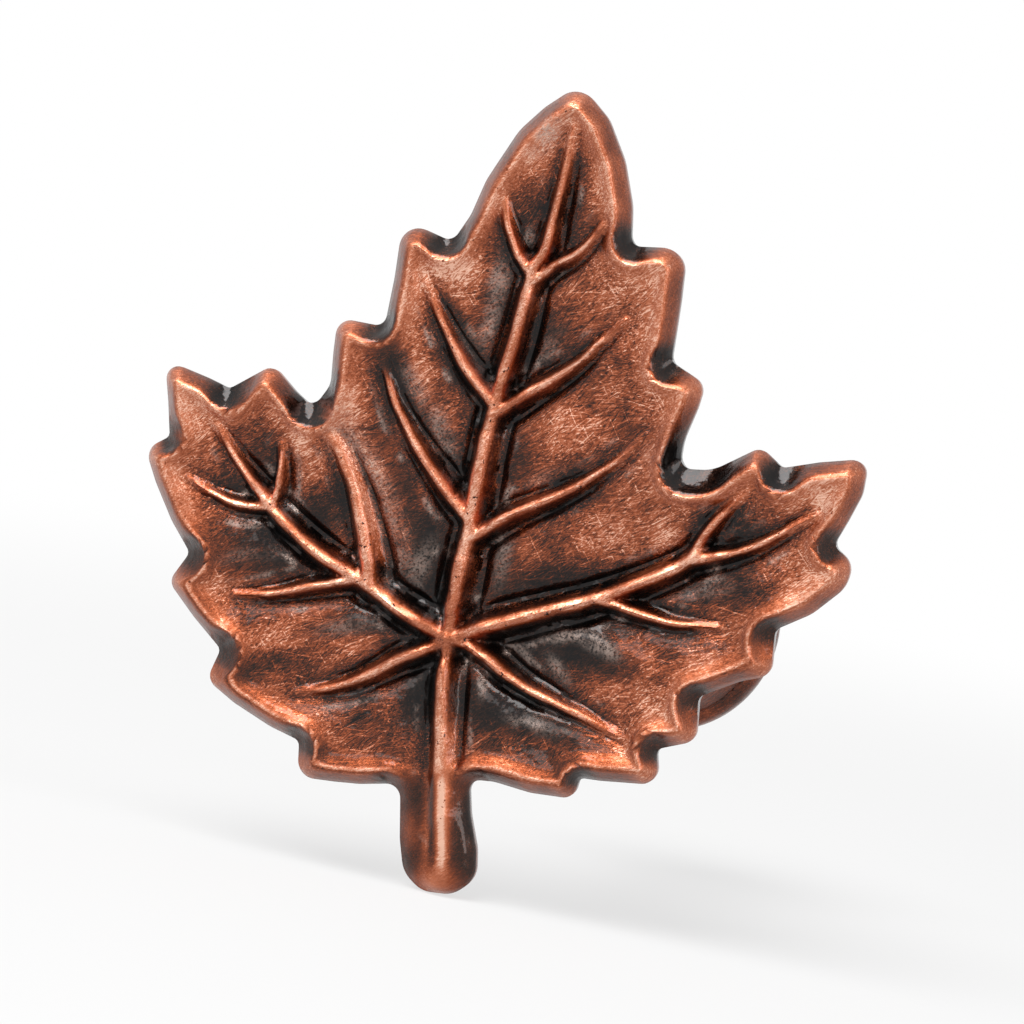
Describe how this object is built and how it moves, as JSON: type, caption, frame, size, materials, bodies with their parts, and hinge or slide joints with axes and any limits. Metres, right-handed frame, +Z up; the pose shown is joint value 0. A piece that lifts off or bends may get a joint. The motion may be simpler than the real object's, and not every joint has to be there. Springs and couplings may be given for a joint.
{
  "type": "leaf shaped pull",
  "caption": "Cast cabinet knob in the form of a carved maple leaf on a round post with a flared foot, antique copper finish.",
  "frame": {"origin": "centre of the foot's flat face, at the mouth of the tapped hole, where the knob meets the drawer front", "axes": "-Y is the way the carved leaf faces, +Y points into the drawer front along the post, +Z is up from the leaf's stem to its tip, +X is right as the leaf is seen"},
  "size_m": [0.047, 0.0302, 0.0516],
  "materials": {
    "antique_copper": "antique copper plating, dark in the recesses and rubbed bright on the rim and veins"
  },
  "bodies": {
    "root": {"leaf_knob": "antique_copper"}
  },
  "joints": []
}
